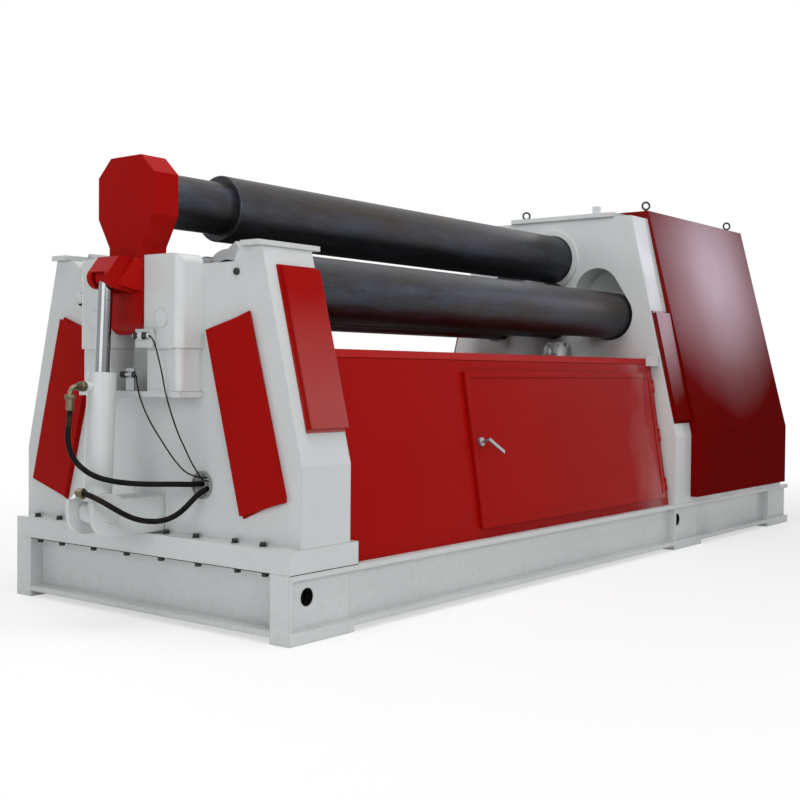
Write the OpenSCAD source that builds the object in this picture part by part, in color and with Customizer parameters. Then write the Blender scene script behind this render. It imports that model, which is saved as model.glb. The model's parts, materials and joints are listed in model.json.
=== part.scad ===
// Four-roll plate rolling machine with a tilting drop-end bearing housing.
// X runs along the rolls from the drop end to the drive end, the operator
// stands at -Y, and the origin is the bottom centre of the base frame.

/* [Base frame] */
// Length of the base beyond the drive cover
base_tail = 202; // [100:2:400]
// Overall width of the base
base_width = 2000; // [1900:50:2400]
// Height of the rail tops above the floor
base_height = 312; // [260:4:400]
// Gap between the floor and the underside of the rails
rail_lift = 30; // [20:5:50]
// Thickness of the rail and beam flanges
flange_t = 28; // [20:2:40]
// Thickness of the rail and beam webs
web_t = 24; // [16:2:40]
// Width of the rail flanges
rail_width = 200; // [160:10:260]
// How far the webs stand back from the outer faces
web_recess = 46; // [30:2:70]
// Length of each corner box
box_length = 437; // [360:1:500]
// Radius of the lifting holes in the boxes
lifting_hole_r = 42; // [30:1:50]

/* [Stands] */
// Height of the drop-end stand at its column tops
drop_top = 1775; // [1700:5:1900]
// Thickness of the drop-end stand along the rolls
drop_stand_t = 335; // [280:5:400]
// Thickness of the plate under the drop-end stand
foot_plate_t = 108; // [60:2:140]
// Height of the drive-end stand
drive_top = 2326; // [2280:2:2500]
// Thickness of the drive-end stand along the rolls
drive_stand_t = 250; // [220:5:320]
// Height at which both stands start to lean inwards
kink_z = 785; // [700:5:850]
// Thickness of the cap plates
cap_t = 25; // [15:1:40]
// Distance between the facing sides of the two stands
working_width = 3450; // [3000:50:4400]

/* [Rolls] */
// Radius of the top roll
top_roll_r = 171; // [150:1:180]
// Radius of the top roll's reduced end
top_journal_r = 134; // [115:1:140]
// Height of the top roll's axis
top_roll_z = 2043; // [2030:1:2100]
// Radius of the bottom roll
bottom_roll_r = 160; // [140:1:165]
// Height of the bottom roll's axis when lowered
bottom_roll_z = 1630; // [1600:1:1640]
// Lift of the bottom roll
bottom_lift = 70; // [40:5:70]
// Radius of the two side rolls
side_roll_r = 162; // [145:1:165]
// Distance of the side rolls from the centre line when lowered
side_roll_y = 480; // [470:1:500]
// Height of the side rolls' axes when lowered
side_roll_z = 1626; // [1600:1:1650]
// Lean of the side rolls' guides from the vertical
guide_lean = 33; // [28:1:35]
// Travel of the side rolls up their guides
side_travel = 190; // [120:5:195]
// Radius of the journals of the lower three rolls
journal_r = 100; // [80:1:110]
// Half width of the drop-end bearing blocks
block_half = 150; // [135:1:155]

/* [Drop end] */
// Thickness of the bearing housing along the rolls
housing_t = 150; // [120:2:180]
// Height of the tilting pin's axis
tilt_z = 1450; // [1420:2:1480]
// Radius of the tilting pin
tilt_pin_r = 40; // [30:1:50]
// Half width of the housing's neck
neck_half = 119.5; // [100:0.5:140]
// Side gap between the neck and the ears
neck_gap = 5.5; // [5:0.5:10]
// Radius of the bore that holds the top roll's nose
nose_bore_r = 112; // [95:1:115]
// Outer radius of the cylinder barrel
barrel_r = 67.5; // [55:0.5:75]
// Radius of the piston rod
rod_r = 34; // [25:1:40]
// Tilt of the housing when fully opened, in degrees
tilt_range = 60; // [40:5:60]

/* [Cabinet] */
// Height of the cabinet top
cabinet_top = 1318; // [1200:2:1330]
// Depth of the cabinet top from its front edge
cabinet_depth = 330; // [280:5:340]
// Thickness of the cabinet walls
cabinet_wall = 12; // [8:1:20]
// Width of the cabinet door
door_width = 2240; // [1600:10:2300]
// Panel left above the cabinet door, along its slope
door_margin = 63; // [40:1:120]
// Thickness of the door
door_t = 20; // [14:1:26]

/* [Drive cover] */
// Length of the red cover over the drive
cover_length = 1690; // [1500:10:1750]
// Height of the cover's top
cover_top = 2385; // [2360:5:2550]
// How far the cover's foot stands out beyond the base on each side
cover_out = 50; // [0:5:120]

/* [Hidden] */
$fn = 48;
part_gap = 0.3;          // between seated faces of different bodies
running_gap = 0.05;      // radial gap of a pin in its bore
slide_gap = 0.5;         // side gap of a block in its guide

foot_margin = 70;        // from the base's drop end to the stand
cover_gap = 3;           // between the drive-end stand and the cover
overhang = 426;          // reach of the hose elbows beyond the base
base_length = foot_margin + drop_stand_t + working_width + drive_stand_t + cover_gap + cover_length + base_tail;
left_end = (overhang - base_length) / 2;
half_width = base_width / 2;
drop_x0 = left_end + foot_margin;
drop_x1 = drop_x0 + drop_stand_t;
drive_x0 = drop_x1 + working_width;
drive_x1 = drive_x0 + drive_stand_t;
plate_top = base_height + foot_plate_t;
column_half = 640;                       // inner edge of the stand columns
column_round = 65;
saddle_z = drop_top - column_round;
drop_lean = 0.2537;                      // inward lean of the drop-end stand, mm per mm
drive_lean = 0.2336;
body_gap = 10;                           // between a roll body and the drop-end stand
roll_sink = 80;                          // depth to which a roll body enters the drive-end stand
post_w = 120;
face_t = 36;                             // closed outer face of each stand
block_start = drop_x0 + face_t + 5;      // outer ends of the blocks in the two stands
block_stop = drive_x1 - face_t - 5;
end_web_x = 76;

tilt_x = drop_x0 - 10 - housing_t / 2;
rod_eye = [tilt_x - 190, tilt_z + 190];  // x and z of the rod's eye
rod_eye_r = 38;
foot_eye = [tilt_x - 240, 530];          // x and z of the cylinder's foot pin
cylinder_length = norm(rod_eye - foot_eye);
cylinder_lean = atan2(rod_eye[0] - foot_eye[0], rod_eye[1] - foot_eye[1]);
ear_w = 245;
ear_inner = neck_half + neck_gap;
ear_out = 66;                            // the ears' faces beyond the pin's axis
ear_top = drop_top - 25;
ear_foot = tilt_z - 140;                 // underside of the ears' full thickness
web_foot = tilt_z - 343;                 // underside of the thinner part below
ledge_t = 27;
pin_half = ear_inner + ear_w - 60;       // reach of the tilting pin from the centre line
boss_r = 46;
clevis_half = 50;
clevis_wall = 28;
hood_r = 52;                             // rounded end of the hood around the rod's eye
hood_ridge = 100;                        // length of the hood's level top

cab_x0 = drop_x1 + 5;
cab_x1 = drive_x0 - 5;
cab_lean = 0.159;                        // the front panel leans back, mm per mm
cab_angle = atan(cab_lean);
cab_foot_y = -half_width + web_recess;
lip_z = cabinet_top - 43;
panel_length = (lip_z - base_height) / cos(cab_angle);

// Solid along X from a profile in Y and Z.
module along_x(x0, x1) {
    translate([x0, 0, 0]) rotate([90, 0, 90]) linear_extrude(x1 - x0) children();
}

// Solid along Y from a profile in X and Z.
module along_y(y0, y1) {
    translate([0, y1, 0]) rotate([90, 0, 0]) linear_extrude(y1 - y0) children();
}

// Round bar along X.
module bar_x(x0, x1, r) {
    translate([x0, 0, 0]) rotate([0, 90, 0]) cylinder(h = x1 - x0, r = r);
}

// Round bar along Y.
module bar_y(y0, y1, r) {
    translate([0, y0, 0]) rotate([-90, 0, 0]) cylinder(h = y1 - y0, r = r);
}

module box_between(low, high) {
    translate(low) cube(high - low);
}

module both_sides() {
    children();
    mirror([0, 1, 0]) children();
}

// ---- Base frame ----

box_edge = 22;           // outer edge plate of a box
box_recess = 30;         // how far a box's panel stands back from its edges
hole_depth = 60;
hole_offset = [145, 100, 100];   // from a box's drop-side edge to its hole
hole_z = 0.64 * base_height;
box_x = [left_end, drive_x0, left_end + base_length - box_length];

// One box of the base: edge plates around a panel that stands back.
module base_box(i, holed) {
    x = box_x[i];
    y = -half_width;
    difference() {
        box_between([x, y, 0], [x + box_length, y + post_w, base_height]);
        box_between([x + box_edge, y - 1, rail_lift + flange_t], [x + box_length + 1, y + box_recess, base_height - flange_t]);
        if (holed)
            translate([x + hole_offset[i], 0, hole_z])
                bar_y(y + box_recess - 1, y + box_recess + hole_depth, lifting_hole_r);
    }
}

// The first two boxes of each side have a hole.
module base_boxes() {
    color("gainsboro") both_sides()
        for (i = [0:2]) base_box(i, i < 2);
}

// Each rail runs from one box to the next.
module base_rails() {
    color("gainsboro") both_sides()
        for (i = [0, 1]) along_x(box_x[i] + box_length, box_x[i + 1]) union() {
            translate([-half_width, rail_lift]) square([rail_width, flange_t]);
            translate([-half_width, base_height - flange_t]) square([rail_width, flange_t]);
            translate([-half_width + web_recess, rail_lift]) square([web_t, base_height - rail_lift]);
        }
}

// Web and lower flange of the beam across the drop end, which the foot plate covers.
module drop_beam_profile() {
    translate([left_end, rail_lift]) square([end_web_x + web_t, flange_t]);
    translate([left_end + end_web_x, rail_lift]) square([web_t, base_height - rail_lift]);
}

module end_beams() {
    inner = half_width - post_w;
    color("gainsboro") {
        along_y(-inner, inner) drop_beam_profile();
        translate([2 * left_end + base_length, 0, 0]) mirror([1, 0, 0]) along_y(-inner, inner) {
            drop_beam_profile();
            translate([left_end, base_height - flange_t]) square([end_web_x + web_t, flange_t]);
        }
    }
}

lift_x = drive_x0 - 120;

// Each cross member runs between the two rails, or between two boxes.
module cross_member(x, side_w) {
    inner = half_width - side_w;
    along_y(-inner, inner) union() {
        translate([x - 70, rail_lift]) square([140, flange_t]);
        translate([x - 70, base_height - flange_t]) square([140, flange_t]);
        translate([x - web_t / 2, rail_lift]) square([web_t, base_height - rail_lift]);
    }
}

module cross_members() {
    color("gainsboro") {
        for (x = [drop_x1 - 40, drive_x0 + drive_stand_t / 2]) cross_member(x, post_w);
        for (x = [(drop_x1 + drive_x0) / 2, lift_x, cover_x1 - 800]) cross_member(x, rail_width);
    }
}

// ---- Drop-end stand ----

// Outer outline of a stand: upright foot, then leaning sides up to the top.
function stand_top_half(top, lean) = half_width - (top - kink_z) * lean;

module stand_outline(foot, top, lean) {
    t = stand_top_half(top, lean);
    polygon([[-half_width, foot], [-half_width, kink_z], [-t, top], [t, top], [half_width, kink_z],
        [half_width, foot]]);
}

// Inclined guide of a side roll: round at the bottom, open or round at the top.
module guide_slot(r, travel) {
    translate([-side_roll_y, side_roll_z]) rotate(-guide_lean) {
        circle(r);
        translate([-r, 0]) square([2 * r, travel]);
        if (travel < 2 * r) translate([0, travel]) circle(r);
    }
}

module drop_saddle() {
    difference() {
        translate([-column_half, saddle_z]) square([2 * column_half, 400]);
        for (s = [-1, 1]) translate([s * column_half, saddle_z]) circle(column_round);
    }
}

module drop_blank() {
    difference() {
        stand_outline(plate_top, drop_top, drop_lean);
        drop_saddle();
    }
}

// The block guides are open to the rolls and closed by the outer face.
module drop_end_stand() {
    color("whitesmoke") difference() {
        drop_body();
        translate(gland_at) bar_x(-1, gland_depth, gland_r - gland_wall);
    }
}

module drop_body() {
    union() {
        along_x(drop_x0, drop_x0 + face_t) drop_blank();
        along_x(drop_x0 + face_t, drop_x1) difference() {
            drop_blank();
            guide_slot(block_half, 600);
            mirror([1, 0]) guide_slot(block_half, 600);
            translate([-block_half, bottom_roll_z - block_half]) square([2 * block_half, 600]);
        }
    }
}

foot_plate_x1 = drop_x1 + 60;

module drop_foot_plate() {
    color("gainsboro")
        box_between([left_end, -half_width, base_height], [foot_plate_x1, half_width, plate_top]);
}

// Room for the foot plate and the base, cut from the housings that stand on them.
module foot_notch() {
    box_between([drop_x1, -half_width - 1, base_height - 1], [foot_plate_x1, half_width + 1, plate_top]);
    box_between([drop_x1, -half_width - 1, base_height - 60], [drive_x0, half_width + 1, base_height]);
}

module drop_caps() {
    t = stand_top_half(drop_top, drop_lean);
    color("whitesmoke") both_sides()
        box_between([drop_x0 - 30, -t - 8, drop_top], [drop_x1 + 50, -column_half, drop_top + cap_t]);
}

// Half outline of an ear in Y and Z, with its outer top corner rounded.
module ear_front(side, foot, top, r) {
    difference() {
        translate([-ear_inner - side, foot]) square([side, top - foot]);
        translate([-ear_inner - side - 1, top - r]) square([r + 1, r + 1]);
    }
    translate([-ear_inner - side + r, top - r]) circle(r);
}

// Plan of an ear with its outer corner rounded.
module ear_plan(x, side, r) {
    difference() {
        translate([x, -ear_inner - side]) square([drop_x0 - x, side]);
        translate([x - 1, -ear_inner - side - 1]) square([r + 1, r + 1]);
    }
    translate([x + r, -ear_inner - side + r]) circle(r);
}

module ear() {
    x0 = tilt_x - ear_out;
    difference() {
        union() {
            intersection() {
                along_x(x0, drop_x0) ear_front(ear_w, ear_foot, ear_top, 45);
                translate([0, 0, ear_foot]) linear_extrude(ear_top - ear_foot) ear_plan(x0, ear_w, 40);
            }
            translate([0, 0, web_foot]) linear_extrude(ear_foot - web_foot) ear_plan(x0 + 12, ear_w - 12, 30);
            translate([0, -ear_inner - ear_w / 2, tilt_z]) bar_x(x0 - 4, x0 + 1, boss_r);
        }
        translate([tilt_x, 0, tilt_z]) bar_y(-pin_half, -ear_inner + 1, tilt_pin_r + running_gap);
        box_between([x0 - 1, -ear_inner - 10, web_foot - 1], [drop_x0 + 1, -ear_inner + 1, ear_foot]);
    }
}

module ears() { color("whitesmoke") both_sides() ear(); }

module ear_ledge() {
    y = ear_inner + ear_w;
    color("whitesmoke") box_between([tilt_x - ear_out + 4, -y, web_foot - ledge_t], [drop_x0, y, web_foot]);
}

// The pin's ends lie inside the ears.
module tilt_pin() {
    color("silver") translate([tilt_x, 0, tilt_z]) bar_y(-pin_half + part_gap, pin_half - part_gap, tilt_pin_r);
}

// Shallow folded cover on an offset backing, laid on the leaning side of a stand.
module slope_cover(lean, x0, x1, z0, z1, inset) {
    a = atan(lean);
    translate([0, -half_width + (z0 - kink_z) * lean, z0]) rotate([-a, 0, 0]) {
        length = (z1 - z0) / cos(a);
        box_between([x0, -10, 0], [x1, -part_gap, length]);
        box_between([x0 + inset, -28, inset], [x1 + inset, -10, length - inset]);
    }
}

module slope_covers() {
    color("firebrick") both_sides()
        slope_cover(drop_lean, drop_x0 + 70, drop_x1 - 12, kink_z + 145, drop_top - 85, 14);
}

// Corners are y from the stand's outer edge and z.
module face_covers() {
    y = -half_width;
    back = [[y + 600, 1385], [y + 320, 1480], [y + 84, 640], [y + 350, 530]];
    front = [[y + 587, 1397], [y + 310, 1470], [y + 77, 625], [y + 356, 543]];
    color("firebrick") both_sides() {
        along_x(drop_x0 - 10, drop_x0) polygon(back);
        along_x(drop_x0 - 28, drop_x0 - 10) polygon(front);
    }
}

// ---- Drop-end cylinder ----

bracket_half = barrel_r + 7.5;           // half the space between the cheeks
bracket_cheek = 30;
bracket_z0 = plate_top + 10;
bracket_z1 = foot_eye[1] + 70;
foot_pin_r = 25;

// Outline of a cheek in X and Z: round below the foot pin and straight back to the stand.
module bracket_cheek_outline() {
    r = foot_eye[1] - bracket_z0;
    translate(foot_eye) circle(r, $fn = 96);
    translate([foot_eye[0] - r, foot_eye[1]]) square([r + 1, bracket_z1 - foot_eye[1]]);
    translate([foot_eye[0], bracket_z0]) square([drop_x0 - foot_eye[0], bracket_z1 - bracket_z0]);
}

// Two cheeks and a back plate on the stand, with the cylinder's foot pin between them.
module cylinder_bracket() {
    y = bracket_half + bracket_cheek;
    color("whitesmoke") {
        both_sides() along_y(-y, -bracket_half) bracket_cheek_outline();
        box_between([drop_x0 - 40, -bracket_half - 1, bracket_z0], [drop_x0, bracket_half + 1, bracket_z1]);
        translate([foot_eye[0], 0, foot_eye[1]]) {
            bar_y(-y - 13, y + 13, foot_pin_r);
            both_sides() bar_y(-y - 13, -y, foot_pin_r + 11);
        }
    }
}

// Frame of the cylinder: its foot pin at the origin and +Z along the rod.
module on_cylinder() {
    translate([foot_eye[0], 0, foot_eye[1]]) rotate([0, cylinder_lean, 0]) children();
}

barrel_start = 60;
barrel_end = 665;
lower_port = barrel_start + 45;
upper_port = barrel_end - 70;
port_out = 26;                           // reach of a port beyond the barrel
rod_foot = barrel_start + 310;           // inner end of the rod when it is fully out

// End face of a port at height h along the cylinder, as x and z.
function port(h) = foot_eye + h * [sin(cylinder_lean), cos(cylinder_lean)]
    + (barrel_r + port_out) * [-cos(cylinder_lean), sin(cylinder_lean)];

module cylinder_barrel() {
    color("whitesmoke") on_cylinder() difference() {
        union() {
            bar_y(1 - bracket_half, bracket_half - 1, 48);
            cylinder(h = barrel_start + 10, r = 44);
            translate([0, 0, barrel_start]) cylinder(h = barrel_end - barrel_start, r = barrel_r);
            for (z = [lower_port, upper_port])
                translate([0, 0, z]) rotate([0, -90, 0]) cylinder(h = barrel_r + port_out, r = 21);
        }
        bar_y(-bracket_half - 1, bracket_half + 1, foot_pin_r + running_gap);
        translate([0, 0, barrel_start + 30]) cylinder(h = barrel_end, r = rod_r + running_gap);
    }
}

module piston_rod() {
    color("silver") on_cylinder() {
        translate([0, 0, rod_foot]) cylinder(h = cylinder_length - rod_eye_r / 2 - rod_foot, r = rod_r);
        translate([0, 0, cylinder_length]) {
            bar_y(-clevis_half + 2, clevis_half - 2, rod_eye_r);
            bar_y(-clevis_half + part_gap, clevis_half - part_gap, 22);
        }
    }
}

// ---- Bearing housing ----

module housing_profile() {
    polygon([[-110, top_roll_z + 182], [-203, top_roll_z + 94], [-203, top_roll_z - 105],
        [-neck_half, top_roll_z - 248], [-neck_half, tilt_z], [neck_half, tilt_z],
        [neck_half, top_roll_z - 248], [203, top_roll_z - 105], [203, top_roll_z + 94], [110, top_roll_z + 182]]);
}

housing_x0 = tilt_x - housing_t / 2;
hood_top = rod_eye[1] + 101;
hood_tip = [rod_eye[0] - hood_r * sin(45), rod_eye[1] + hood_r * cos(45)];

// Outline of a hood cheek in X and Z.
module hood_cheek() {
    translate(rod_eye) circle(hood_r, $fn = 96);
    polygon([[housing_x0 + 1, hood_top], [housing_x0 - hood_ridge, hood_top], hood_tip,
        [rod_eye[0], rod_eye[1] - hood_r], [housing_x0 + 1, rod_eye[1] - 70]]);
}

// Wedge that widens a cheek towards the housing.
module hood_gusset() {
    y = -clevis_half - clevis_wall;
    low = rod_eye[1] - 60;
    intersection() {
        translate([0, 0, low]) linear_extrude(hood_top - low)
            polygon([[housing_x0 - 118, y + 1], [housing_x0 - 118, y], [housing_x0 + 1, -neck_half], [housing_x0 + 1, y + 1]]);
        along_y(-neck_half - 1, y + 2)
            polygon([[housing_x0 + 1, low], [housing_x0 - 118, low + 26], [housing_x0 - 20, hood_top - 4], [housing_x0 + 1, hood_top - 4]]);
    }
}

module bearing_housing() {
    x0 = housing_x0;
    x1 = tilt_x + housing_t / 2;
    skin = 12;
    color("firebrick") difference() {
        union() {
            along_x(x0, x1) housing_profile();
            translate([tilt_x, 0, tilt_z]) bar_y(-neck_half, neck_half, housing_t / 2 - 1);
            both_sides() {
                along_y(-clevis_half - clevis_wall, -clevis_half) hood_cheek();
                hood_gusset();
            }
            along_y(-clevis_half - 1, clevis_half + 1)
                polygon([[x0 + 1, hood_top], [x0 - hood_ridge, hood_top], hood_tip, hood_tip + [8, -8],
                    [x0 - hood_ridge + 5, hood_top - skin], [x0 + 1, hood_top - skin]]);
        }
        translate([0, 0, top_roll_z]) bar_x(x1 - 110, x1 + 1, nose_bore_r);
        translate([tilt_x, 0, tilt_z]) bar_y(-neck_half - 1, neck_half + 1, tilt_pin_r + running_gap);
    }
}

// ---- Rolls ----

function nose_x() = tilt_x + housing_t / 2;

// Top roll: nose in the housing, reduced end, body, drive journal.
module top_roll() {
    n = nose_x();
    body_x = drop_x1 + 105;
    color("dimgray") translate([0, 0, top_roll_z]) rotate([0, 90, 0]) rotate_extrude()
        polygon([[0, n - 105], [nose_bore_r - 16, n - 105], [nose_bore_r - 9, n - 95], [nose_bore_r - 8, n - 50],
            [nose_bore_r - 5, n - 20], [nose_bore_r - 0.5, n - 1], [nose_bore_r - 0.5, n + 6],
            [top_journal_r, n + 10], [top_journal_r, body_x], [top_roll_r - 6, body_x],
            [top_roll_r, body_x + 6], [top_roll_r, drive_x0 + 40], [top_journal_r, drive_x0 + 40.5],
            [top_journal_r, block_stop - 7], [0, block_stop - 7]]);
}

// A lower roll between its journals, on the X axis.
module lower_roll(r) {
    color("dimgray") rotate([0, 90, 0]) rotate_extrude()
        polygon([[0, block_start + 7], [journal_r, block_start + 7], [journal_r, drop_x1 + body_gap],
            [r - 5, drop_x1 + body_gap], [r, drop_x1 + body_gap + 5], [r, drive_x0 + roll_sink - 5],
            [r - 5, drive_x0 + roll_sink], [journal_r, drive_x0 + roll_sink], [journal_r, block_stop - 7],
            [0, block_stop - 7]]);
}

module bottom_roll() { translate([0, 0, bottom_roll_z]) lower_roll(bottom_roll_r); }

module front_roll() { translate([0, -side_roll_y, side_roll_z]) lower_roll(side_roll_r); }

module rear_roll() { mirror([0, 1, 0]) front_roll(); }

slot_r = side_roll_r + 14;
bottom_slot_r = bottom_roll_r + 8;
lift_margin = 6;                         // of each slot beyond the travel of its block

// Bearing blocks of a side roll: one in each stand.
module side_blocks() {
    drop_half = block_half - slide_gap;
    drive_r = slot_r - slide_gap;
    color("slategray") translate([0, -side_roll_y, side_roll_z]) rotate([-guide_lean, 0, 0]) {
        along_x(block_start, drop_x1 - 5) difference() {
            union() {
                circle(drop_half);
                translate([-drop_half, 0]) square([2 * drop_half, 120]);
            }
            circle(journal_r + running_gap);
        }
        along_x(drive_x0 + roll_sink + 8, block_stop) difference() {
            circle(drive_r);
            circle(journal_r + running_gap);
        }
    }
}

module front_blocks() { side_blocks(); }

module rear_blocks() { mirror([0, 1, 0]) side_blocks(); }

module bottom_blocks() {
    drop_half = block_half - slide_gap;
    color("slategray") translate([0, 0, bottom_roll_z]) {
        along_x(block_start, drop_x1 - 5) difference() {
            translate([-drop_half, -block_half + 6]) square([2 * drop_half, block_half + 130]);
            circle(journal_r + running_gap);
        }
        along_x(drive_x0 + roll_sink + 8, block_stop) difference() {
            circle(bottom_slot_r - slide_gap);
            circle(journal_r + running_gap);
        }
    }
}

// ---- Drive-end stand ----

// The slots are open to the rolls and closed towards the drive.
module drive_end_stand() {
    color("lightgray") difference() {
        union() {
            along_x(drive_x0, drive_x1) stand_outline(base_height, drive_top, drive_lean);
            translate([0, 0, top_roll_z]) bar_x(drive_x0 - 12, drive_x0 + 1, top_roll_r + 45);
        }
        along_x(drive_x0 - 1, drive_x1 - face_t) union() {
            guide_slot(slot_r, side_travel + lift_margin);
            mirror([1, 0]) guide_slot(slot_r, side_travel + lift_margin);
        }
        along_x(drive_x0 - 13, drive_x1 - face_t) translate([0, bottom_roll_z]) union() {
            circle(bottom_slot_r);
            translate([-bottom_slot_r, 0]) square([2 * bottom_slot_r, bottom_lift + lift_margin]);
            translate([0, bottom_lift + lift_margin]) circle(bottom_slot_r);
        }
        translate([0, 0, top_roll_z]) bar_x(drive_x0 - 20, drive_x0 + 46, top_roll_r + 5);
        translate([0, 0, top_roll_z]) bar_x(drive_x0, drive_x1 - face_t, top_journal_r + running_gap);
    }
}

module drive_cap() {
    color("lightgray") {
        box_between([drive_x0 - 14, -500, drive_top], [drive_x1 - 6, 350, drive_top + 32]);
        box_between([drive_x0 + 60, -340, drive_top + 32], [drive_x0 + 105, -298, drive_top + 92]);
    }
}

module drive_side_covers() {
    color("firebrick") both_sides()
        slope_cover(drive_lean, drive_x0 + 10, drive_x1 - 24, kink_z + 85, kink_z + 865, 14);
}

cover_x0 = drive_x1 + cover_gap;
cover_x1 = cover_x0 + cover_length;
cover_foot = base_height + 38;
cover_half = half_width + cover_out;
cover_lean = 0.2555;
cover_kink = kink_z + 15;
cover_top_half = cover_half - (cover_top - cover_kink) * cover_lean;
cover_top_rear = cover_top_half - 220;

module drive_plinth() {
    color("gainsboro") box_between([drive_x1, -half_width, base_height], [cover_x1 + 30, half_width, cover_foot]);
}

module drive_cover() {
    color("firebrick") along_x(cover_x0, cover_x1)
        polygon([[-cover_half, cover_foot], [-cover_half, cover_kink], [-cover_top_half, cover_top],
            [cover_top_rear, cover_top], [cover_half, cover_kink], [cover_half, cover_foot]]);
}

module eye(at) {
    translate(at) {
        translate([0, 0, 38]) rotate([90, 0, -50]) rotate_extrude() translate([26, 0]) circle(7);
        cylinder(h = 14, r = 12);
    }
}

module lifting_eyes() {
    color("dimgray") {
        for (x = [cover_x0 + 20, cover_x1 - 220], y = [30 - cover_top_half, cover_top_rear - 30])
            eye([x, y, cover_top]);
    }
}

module lift_cylinder() {
    color("silver") translate([lift_x, -125, 0]) {
        translate([0, 0, base_height]) cylinder(h = 1010, r = 88);
        translate([0, 0, base_height + 1010]) cylinder(h = 80, r = 100);
        translate([0, 0, base_height + 1090]) cylinder(h = 30, r = 70);
        translate([0, 0, base_height + 940]) box_between([-150, -45, 0], [-60, 45, 100]);
        translate([-118, 0, base_height + 1039]) cylinder(h = 36, r = 26);
    }
}

// ---- Cabinet ----

// Frame of the cabinet's front: X along the rolls, +Z up the leaning panel, -Y outwards.
module on_panel() {
    translate([0, cab_foot_y, base_height]) rotate([-cab_angle, 0, 0]) children();
}

door_x1 = cab_x1 - 55;
door_x0 = door_x1 - door_width;
door_z0 = 52;
door_height = panel_length - door_z0 - door_margin;
opening_rim = 40;
door_rim = 32;           // raised edge around the door's face

module cabinet_front() {
    color("firebrick") difference() {
        on_panel() difference() {
            box_between([cab_x0, 0, -20], [cab_x1, cabinet_wall, panel_length]);
            box_between([door_x0 + opening_rim, -1, door_z0 + opening_rim],
                [door_x1 - opening_rim, cabinet_wall + 1, door_z0 + door_height - opening_rim]);
        }
        foot_notch();
    }
}

cab_front_top_y = cab_foot_y + panel_length * sin(cab_angle);
cab_back_y = cab_front_top_y + 41 + cabinet_depth;

module cabinet_top_plate() {
    y = cab_front_top_y;
    w = cabinet_wall;
    color("firebrick") along_x(cab_x0, cab_x1)
        polygon([[y, lip_z + 2], [y + 41, cabinet_top], [cab_back_y, cabinet_top], [cab_back_y, cabinet_top - w],
            [y + 46, cabinet_top - w], [y + w, lip_z + 2]]);
}

// Back and two end walls of the cabinet.
module cabinet_walls() {
    w = cabinet_wall;
    slant = w / cos(cab_angle);
    color("firebrick") difference() {
        union() {
            box_between([cab_x0, cab_back_y - w, base_height], [cab_x1, cab_back_y, cabinet_top - w]);
            for (x = [cab_x0, cab_x1 - w]) along_x(x, x + w)
                polygon([[cab_foot_y + slant, base_height], [cab_front_top_y + slant, lip_z],
                    [cab_front_top_y + 46, cabinet_top - w], [cab_back_y - 1, cabinet_top - w],
                    [cab_back_y - 1, base_height]]);
        }
        foot_notch();
    }
}

// The rear of the machine is closed by a housing of the same shape as the cabinet.
module rear_housing() {
    y = cab_front_top_y;
    color("firebrick") mirror([0, 1, 0]) difference() {
        union() {
            along_x(cab_x0, cab_x1)
                polygon([[cab_foot_y, base_height], [y, lip_z], [y + 41, cabinet_top], [cab_back_y, cabinet_top],
                    [cab_back_y, base_height]]);
            on_panel() box_between([door_x0, -door_t, door_z0], [door_x1, 2, door_z0 + door_height]);
        }
        foot_notch();
    }
}

hinge_r = 13;
hinge_pin_r = 6;
hinge_z = [90, door_height / 2, door_height - 90];

// Hinges at the door's drive-side edge: pin, two end knuckles and a leaf on the panel.
module door_hinges() {
    color("dimgray") on_panel() for (z = hinge_z) translate([door_x1 + 14, -14, door_z0 + z - 45]) {
        cylinder(h = 90, r = hinge_pin_r);
        cylinder(h = 29, r = hinge_r);
        translate([0, 0, 61]) cylinder(h = 29, r = hinge_r);
        for (h = [0, 61]) box_between([-2, 0, h], [30, 14, h + 29]);
    }
}

module cabinet_door() {
    color("firebrick") on_panel() difference() {
        union() {
            difference() {
                box_between([door_x0, -door_t - 1, door_z0], [door_x1 - 8, -1, door_z0 + door_height]);
                box_between([door_x0 + door_rim, -door_t - 2, door_z0 + door_rim],
                    [door_x1 - 8 - door_rim, -door_t + 4, door_z0 + door_height - door_rim]);
            }
            for (z = hinge_z) translate([door_x1 + 14, -14, door_z0 + z - 15]) {
                cylinder(h = 30, r = hinge_r);
                box_between([-30, -7, 0], [0, 7, 30]);
            }
        }
        for (z = hinge_z) {
            translate([door_x1 + 14, -14, door_z0 + z - 60]) cylinder(h = 120, r = hinge_pin_r + running_gap);
            for (h = [-47, 15]) box_between([door_x1 - 9, -32, door_z0 + z + h], [door_x1 + 40, 2, door_z0 + z + h + 32]);
        }
        translate([door_x0 + 70, 0, door_z0 + 470]) bar_y(-door_t - 2, 1, 9 + running_gap);
    }
}

module door_handle() {
    color("silver") on_panel() translate([door_x0 + 70, 0, door_z0 + 470]) {
        bar_y(-door_t - 60, -1 - part_gap, 9);
        bar_y(-door_t - 14, -door_t + 4 - part_gap, 24);
        translate([0, -door_t - 60, 0]) rotate([0, 30, 0]) box_between([-14, -12, -9], [140, 0, 9]);
    }
}

// ---- Sensors and lines ----

gland_at = [drop_x0, -372, 668];
gland_r = 66;
gland_wall = 8;
gland_depth = 50;

// Ring around the pocket that the hoses and cables run into.
module line_gland() {
    color("dimgray") translate(gland_at) difference() {
        bar_x(-12, 0, gland_r);
        bar_x(-13, 1, gland_r - gland_wall);
    }
}

sensor_x = tilt_x - ear_out - 19;        // inner face of the sensor plate
sensor_z = tilt_z - 82;

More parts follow.
